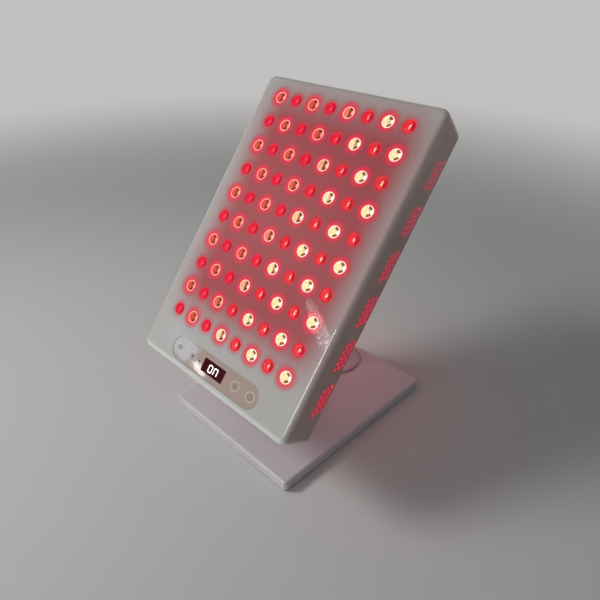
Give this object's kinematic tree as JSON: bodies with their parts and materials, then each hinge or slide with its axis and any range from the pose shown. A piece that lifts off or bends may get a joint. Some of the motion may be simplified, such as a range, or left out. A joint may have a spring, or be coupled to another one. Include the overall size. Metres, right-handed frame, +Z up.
{
  "type": "red_light_therapy_panel",
  "caption": "White portrait light therapy panel with a grid of round red lenses, tilted back on a hidden curved arm over a flat, pale trapezoid base.",
  "frame": {"origin": "On the table under the middle of the device's bounding box. The lenses face -Y and +Z is up.", "axes": "+X to the right as seen from the front, +Y from the front to the back, +Z up."},
  "size_m": [0.2132, 0.2242, 0.323],
  "materials": {
    "satin_plastic": "satin moulded plastic",
    "arm_metal": "satin paint",
    "ballast_steel": "plain cut plate",
    "foot_rubber": "matt",
    "screw_steel": "fine turned",
    "gloss_shell": "polished, slightly translucent",
    "lens_red": "clear polished lenses, lit from behind",
    "sink_alloy": "extruded, bare",
    "board_green": "solder mask",
    "display_black": "smoked, polished",
    "window_beige": "polished, translucent",
    "black_plastic": "fine grain"
  },
  "bodies": {
    "stand": {"base_shell": "satin_plastic", "base_ballast": "ballast_steel", "base_bottom": "satin_plastic", "foot_front_left": "foot_rubber", "foot_front_right": "foot_rubber", "foot_back_right": "foot_rubber", "foot_back_left": "foot_rubber", "base_screw_1": "screw_steel", "base_screw_2": "screw_steel", "base_screw_3": "screw_steel", "base_screw_4": "screw_steel", "arm_collar": "satin_plastic", "arm": "arm_metal", "arm_bolt_left": "screw_steel", "arm_bolt_right": "screw_steel", "hinge_pin": "screw_steel", "hinge_cap_left": "satin_plastic", "hinge_cap_right": "satin_plastic", "hinge_washer_left": "screw_steel", "hinge_washer_right": "screw_steel"},
    "panel": {"housing": "gloss_shell", "led_board": "lens_red", "heat_sink": "sink_alloy", "driver_board": "board_green", "control_board": "board_green", "display": "display_black", "control_window": "window_beige", "rear_cover": "gloss_shell", "fan_frame": "black_plastic", "inlet": "black_plastic", "inlet_pin_left": "screw_steel", "inlet_pin_right": "screw_steel", "hinge_bracket": "arm_metal", "cover_screw_1": "screw_steel", "cover_screw_2": "screw_steel", "cover_screw_3": "screw_steel", "cover_screw_4": "screw_steel", "cover_screw_5": "screw_steel", "cover_screw_6": "screw_steel", "bracket_screw_1": "screw_steel", "bracket_screw_2": "screw_steel", "bracket_screw_3": "screw_steel", "bracket_screw_4": "screw_steel"},
    "fan": {"fan_rotor": "black_plastic"}
  },
  "joints": [
    {"name": "panel_tilt", "type": "hinge", "parent": "stand", "child": "panel", "pos_m": [0, 0.02267, 0.178], "axis": [1, 0, 0], "range_deg": [-49, 40]},
    {"name": "fan_spin", "type": "hinge", "parent": "panel", "child": "fan", "pos_m": [0, 0.05183, 0.2532], "axis": [0, 0.7576, -0.6528], "continuous": true}
  ]
}
